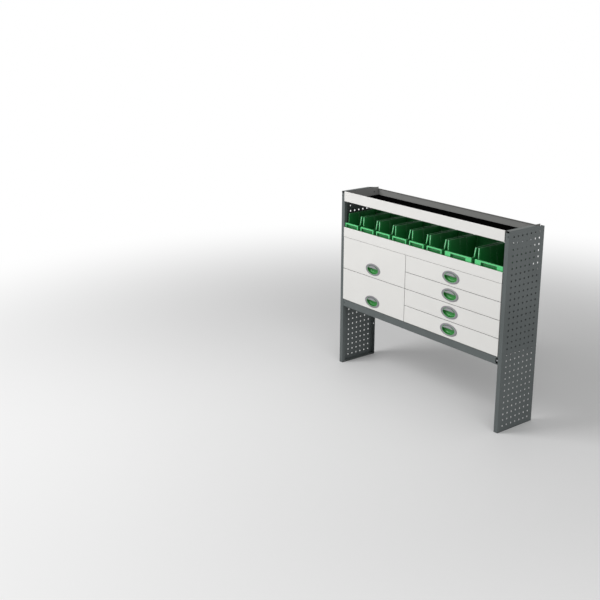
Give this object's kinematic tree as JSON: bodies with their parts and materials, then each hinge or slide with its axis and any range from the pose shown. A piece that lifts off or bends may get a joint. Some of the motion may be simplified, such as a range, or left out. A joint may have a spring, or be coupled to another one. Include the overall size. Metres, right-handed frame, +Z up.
{
  "type": "van racking unit",
  "caption": "Steel racking for a van side: perforated side panels hold a top tray, a shelf of lift-out bins and two columns of latched drawers over an open wheel-arch bay.",
  "frame": {"origin": "middle of the footprint at floor level: midway across the unit, midway front to back with the handles counted in, at the foot of the side panels", "axes": "+X along the unit to its right as seen from the drawers, +Y back towards the vehicle's wall, +Z up"},
  "size_m": [1.476, 0.324, 1.254],
  "materials": {
    "panel_grey": "fine textured powder coat, satin",
    "tray_grey": "smooth powder coat, satin",
    "white_steel": "smooth white powder coat, satin",
    "drawer_steel": "smooth grey powder coat, satin",
    "mat_rubber": "fine ribbed, matt",
    "bezel_grey": "fine grained, satin",
    "lever_grey": "smooth, satin",
    "cup_green": "smooth, soft gloss",
    "bin_green": "moulded, soft gloss",
    "zinc": "bright zinc plate"
  },
  "bodies": {
    "frame": {"left_side_panel": "panel_grey", "right_side_panel": "panel_grey", "top_tray": "tray_grey", "top_tray_lip": "white_steel", "top_tray_mat": "mat_rubber", "tray_brackets": "panel_grey", "bin_shelf": "tray_grey", "bin_shelf_lip": "white_steel", "cabinet_left_wall": "panel_grey", "cabinet_right_wall": "panel_grey", "column_divider": "panel_grey", "cabinet_floor": "tray_grey", "front_rail": "panel_grey", "fixed_runners": "zinc", "bolts": "zinc"},
    "left_drawer_1": {"left_drawer_1_box": "drawer_steel", "left_drawer_1_front": "white_steel", "left_drawer_1_bezel": "bezel_grey", "left_drawer_1_cup": "cup_green"},
    "left_drawer_1_carriages": {"left_drawer_1_runners": "zinc"},
    "left_drawer_1_lever": {"left_drawer_1_latch": "lever_grey"},
    "left_drawer_2": {"left_drawer_2_box": "drawer_steel", "left_drawer_2_front": "white_steel", "left_drawer_2_bezel": "bezel_grey", "left_drawer_2_cup": "cup_green"},
    "left_drawer_2_carriages": {"left_drawer_2_runners": "zinc"},
    "left_drawer_2_lever": {"left_drawer_2_latch": "lever_grey"},
    "right_drawer_1": {"right_drawer_1_box": "drawer_steel", "right_drawer_1_front": "white_steel", "right_drawer_1_bezel": "bezel_grey", "right_drawer_1_cup": "cup_green"},
    "right_drawer_1_carriages": {"right_drawer_1_runners": "zinc"},
    "right_drawer_1_lever": {"right_drawer_1_latch": "lever_grey"},
    "right_drawer_2": {"right_drawer_2_box": "drawer_steel", "right_drawer_2_front": "white_steel", "right_drawer_2_bezel": "bezel_grey", "right_drawer_2_cup": "cup_green"},
    "right_drawer_2_carriages": {"right_drawer_2_runners": "zinc"},
    "right_drawer_2_lever": {"right_drawer_2_latch": "lever_grey"},
    "right_drawer_3": {"right_drawer_3_box": "drawer_steel", "right_drawer_3_front": "white_steel", "right_drawer_3_bezel": "bezel_grey", "right_drawer_3_cup": "cup_green"},
    "right_drawer_3_carriages": {"right_drawer_3_runners": "zinc"},
    "right_drawer_3_lever": {"right_drawer_3_latch": "lever_grey"},
    "right_drawer_4": {"right_drawer_4_box": "drawer_steel", "right_drawer_4_front": "white_steel", "right_drawer_4_bezel": "bezel_grey", "right_drawer_4_cup": "cup_green"},
    "right_drawer_4_carriages": {"right_drawer_4_runners": "zinc"},
    "right_drawer_4_lever": {"right_drawer_4_latch": "lever_grey"},
    "small_bin_1_body": {"small_bin_1": "bin_green"},
    "small_bin_2_body": {"small_bin_2": "bin_green"},
    "small_bin_3_body": {"small_bin_3": "bin_green"},
    "small_bin_4_body": {"small_bin_4": "bin_green"},
    "small_bin_5_body": {"small_bin_5": "bin_green"},
    "small_bin_6_body": {"small_bin_6": "bin_green"},
    "large_bin_1_body": {"large_bin_1": "bin_green"},
    "large_bin_2_body": {"large_bin_2": "bin_green"}
  },
  "joints": [
    {"name": "left_drawer_1_slide", "type": "slide", "parent": "frame", "child": "left_drawer_1", "axis": [0, -1, 0], "range_m": [0, 0.26]},
    {"name": "left_drawer_1_runner_slide", "type": "slide", "parent": "frame", "child": "left_drawer_1_carriages", "axis": [0, -1, 0], "range_m": [0, 0.13]},
    {"name": "left_drawer_1_latch_hinge", "type": "hinge", "parent": "left_drawer_1", "child": "left_drawer_1_lever", "pos_m": [-0.399, -0.152, 0.7905], "axis": [-1, 0, 0], "range_deg": [0, 20], "stiffness_Nm_per_rad": 0.12, "springref_deg": -5.73},
    {"name": "left_drawer_2_slide", "type": "slide", "parent": "frame", "child": "left_drawer_2", "axis": [0, -1, 0], "range_m": [0, 0.26]},
    {"name": "left_drawer_2_runner_slide", "type": "slide", "parent": "frame", "child": "left_drawer_2_carriages", "axis": [0, -1, 0], "range_m": [0, 0.13]},
    {"name": "left_drawer_2_latch_hinge", "type": "hinge", "parent": "left_drawer_2", "child": "left_drawer_2_lever", "pos_m": [-0.399, -0.152, 0.5635], "axis": [-1, 0, 0], "range_deg": [0, 20], "stiffness_Nm_per_rad": 0.12, "springref_deg": -5.73},
    {"name": "right_drawer_1_slide", "type": "slide", "parent": "frame", "child": "right_drawer_1", "axis": [0, -1, 0], "range_m": [0, 0.26]},
    {"name": "right_drawer_1_runner_slide", "type": "slide", "parent": "frame", "child": "right_drawer_1_carriages", "axis": [0, -1, 0], "range_m": [0, 0.13]},
    {"name": "right_drawer_1_latch_hinge", "type": "hinge", "parent": "right_drawer_1", "child": "right_drawer_1_lever", "pos_m": [0.308, -0.152, 0.904], "axis": [-1, 0, 0], "range_deg": [0, 20], "stiffness_Nm_per_rad": 0.12, "springref_deg": -5.73},
    {"name": "right_drawer_2_slide", "type": "slide", "parent": "frame", "child": "right_drawer_2", "axis": [0, -1, 0], "range_m": [0, 0.26]},
    {"name": "right_drawer_2_runner_slide", "type": "slide", "parent": "frame", "child": "right_drawer_2_carriages", "axis": [0, -1, 0], "range_m": [0, 0.13]},
    {"name": "right_drawer_2_latch_hinge", "type": "hinge", "parent": "right_drawer_2", "child": "right_drawer_2_lever", "pos_m": [0.308, -0.152, 0.7905], "axis": [-1, 0, 0], "range_deg": [0, 20], "stiffness_Nm_per_rad": 0.12, "springref_deg": -5.73},
    {"name": "right_drawer_3_slide", "type": "slide", "parent": "frame", "child": "right_drawer_3", "axis": [0, -1, 0], "range_m": [0, 0.26]},
    {"name": "right_drawer_3_runner_slide", "type": "slide", "parent": "frame", "child": "right_drawer_3_carriages", "axis": [0, -1, 0], "range_m": [0, 0.13]},
    {"name": "right_drawer_3_latch_hinge", "type": "hinge", "parent": "right_drawer_3", "child": "right_drawer_3_lever", "pos_m": [0.308, -0.152, 0.677], "axis": [-1, 0, 0], "range_deg": [0, 20], "stiffness_Nm_per_rad": 0.12, "springref_deg": -5.73},
    {"name": "right_drawer_4_slide", "type": "slide", "parent": "frame", "child": "right_drawer_4", "axis": [0, -1, 0], "range_m": [0, 0.26]},
    {"name": "right_drawer_4_runner_slide", "type": "slide", "parent": "frame", "child": "right_drawer_4_carriages", "axis": [0, -1, 0], "range_m": [0, 0.13]},
    {"name": "right_drawer_4_latch_hinge", "type": "hinge", "parent": "right_drawer_4", "child": "right_drawer_4_lever", "pos_m": [0.308, -0.152, 0.5635], "axis": [-1, 0, 0], "range_deg": [0, 20], "stiffness_Nm_per_rad": 0.12, "springref_deg": -5.73},
    {"name": "small_bin_1_lift", "type": "slide", "parent": "frame", "child": "small_bin_1_body", "axis": [0, 0, 1], "range_m": [0, 0.08]},
    {"name": "small_bin_2_lift", "type": "slide", "parent": "frame", "child": "small_bin_2_body", "axis": [0, 0, 1], "range_m": [0, 0.08]},
    {"name": "small_bin_3_lift", "type": "slide", "parent": "frame", "child": "small_bin_3_body", "axis": [0, 0, 1], "range_m": [0, 0.08]},
    {"name": "small_bin_4_lift", "type": "slide", "parent": "frame", "child": "small_bin_4_body", "axis": [0, 0, 1], "range_m": [0, 0.08]},
    {"name": "small_bin_5_lift", "type": "slide", "parent": "frame", "child": "small_bin_5_body", "axis": [0, 0, 1], "range_m": [0, 0.08]},
    {"name": "small_bin_6_lift", "type": "slide", "parent": "frame", "child": "small_bin_6_body", "axis": [0, 0, 1], "range_m": [0, 0.08]},
    {"name": "large_bin_1_lift", "type": "slide", "parent": "frame", "child": "large_bin_1_body", "axis": [0, 0, 1], "range_m": [0, 0.08]},
    {"name": "large_bin_2_lift", "type": "slide", "parent": "frame", "child": "large_bin_2_body", "axis": [0, 0, 1], "range_m": [0, 0.08]}
  ],
  "couplings": [
    {"joint": "left_drawer_1_runner_slide", "follows": "left_drawer_1_slide", "ratio": 0.5},
    {"joint": "left_drawer_2_runner_slide", "follows": "left_drawer_2_slide", "ratio": 0.5},
    {"joint": "right_drawer_1_runner_slide", "follows": "right_drawer_1_slide", "ratio": 0.5},
    {"joint": "right_drawer_2_runner_slide", "follows": "right_drawer_2_slide", "ratio": 0.5},
    {"joint": "right_drawer_3_runner_slide", "follows": "right_drawer_3_slide", "ratio": 0.5},
    {"joint": "right_drawer_4_runner_slide", "follows": "right_drawer_4_slide", "ratio": 0.5}
  ]
}
